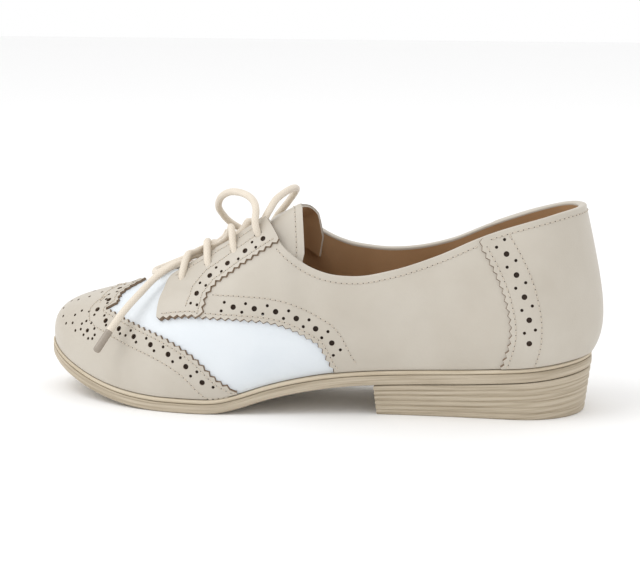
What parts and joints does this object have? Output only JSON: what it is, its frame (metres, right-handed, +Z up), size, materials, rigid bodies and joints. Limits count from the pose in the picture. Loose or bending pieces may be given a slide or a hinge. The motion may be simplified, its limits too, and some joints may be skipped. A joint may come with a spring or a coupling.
{
  "type": "oxford shoe",
  "caption": "Low laced wing-tip shoe for a left foot: a hollow two-tone leather upper with pinked overlays, tongue and loose laces, on a thin sole with a low stacked heel.",
  "frame": {"origin": "middle of the shoe's box, on the floor", "axes": "+X to the toe, +Y to the outer side of the left foot, +Z up"},
  "size_m": [0.2672, 0.0892, 0.1014],
  "materials": {
    "sole": "satin, wood-tan with fine streaks",
    "welt": "satin, paler tan",
    "insole": "smooth, matt tan",
    "vamp": "smooth, satin, cool white",
    "overlay": "smooth, satin, warm beige",
    "lace": "round waxed cord, cream"
  },
  "bodies": {
    "root": {"outsole": "sole", "heel": "sole", "welt": "welt", "insole": "insole", "upper": "vamp", "tongue": "overlay", "wing_cap": "overlay", "quarter_lateral": "overlay", "quarter_medial": "overlay", "facing_lateral": "overlay", "facing_medial": "overlay", "heel_counter": "overlay", "lace_bars": "lace", "lace_loop_front": "lace", "lace_end_outer": "lace", "lace_arch_rear": "lace", "lace_arch_front": "lace", "lace_sweep_inner": "lace"}
  },
  "joints": []
}
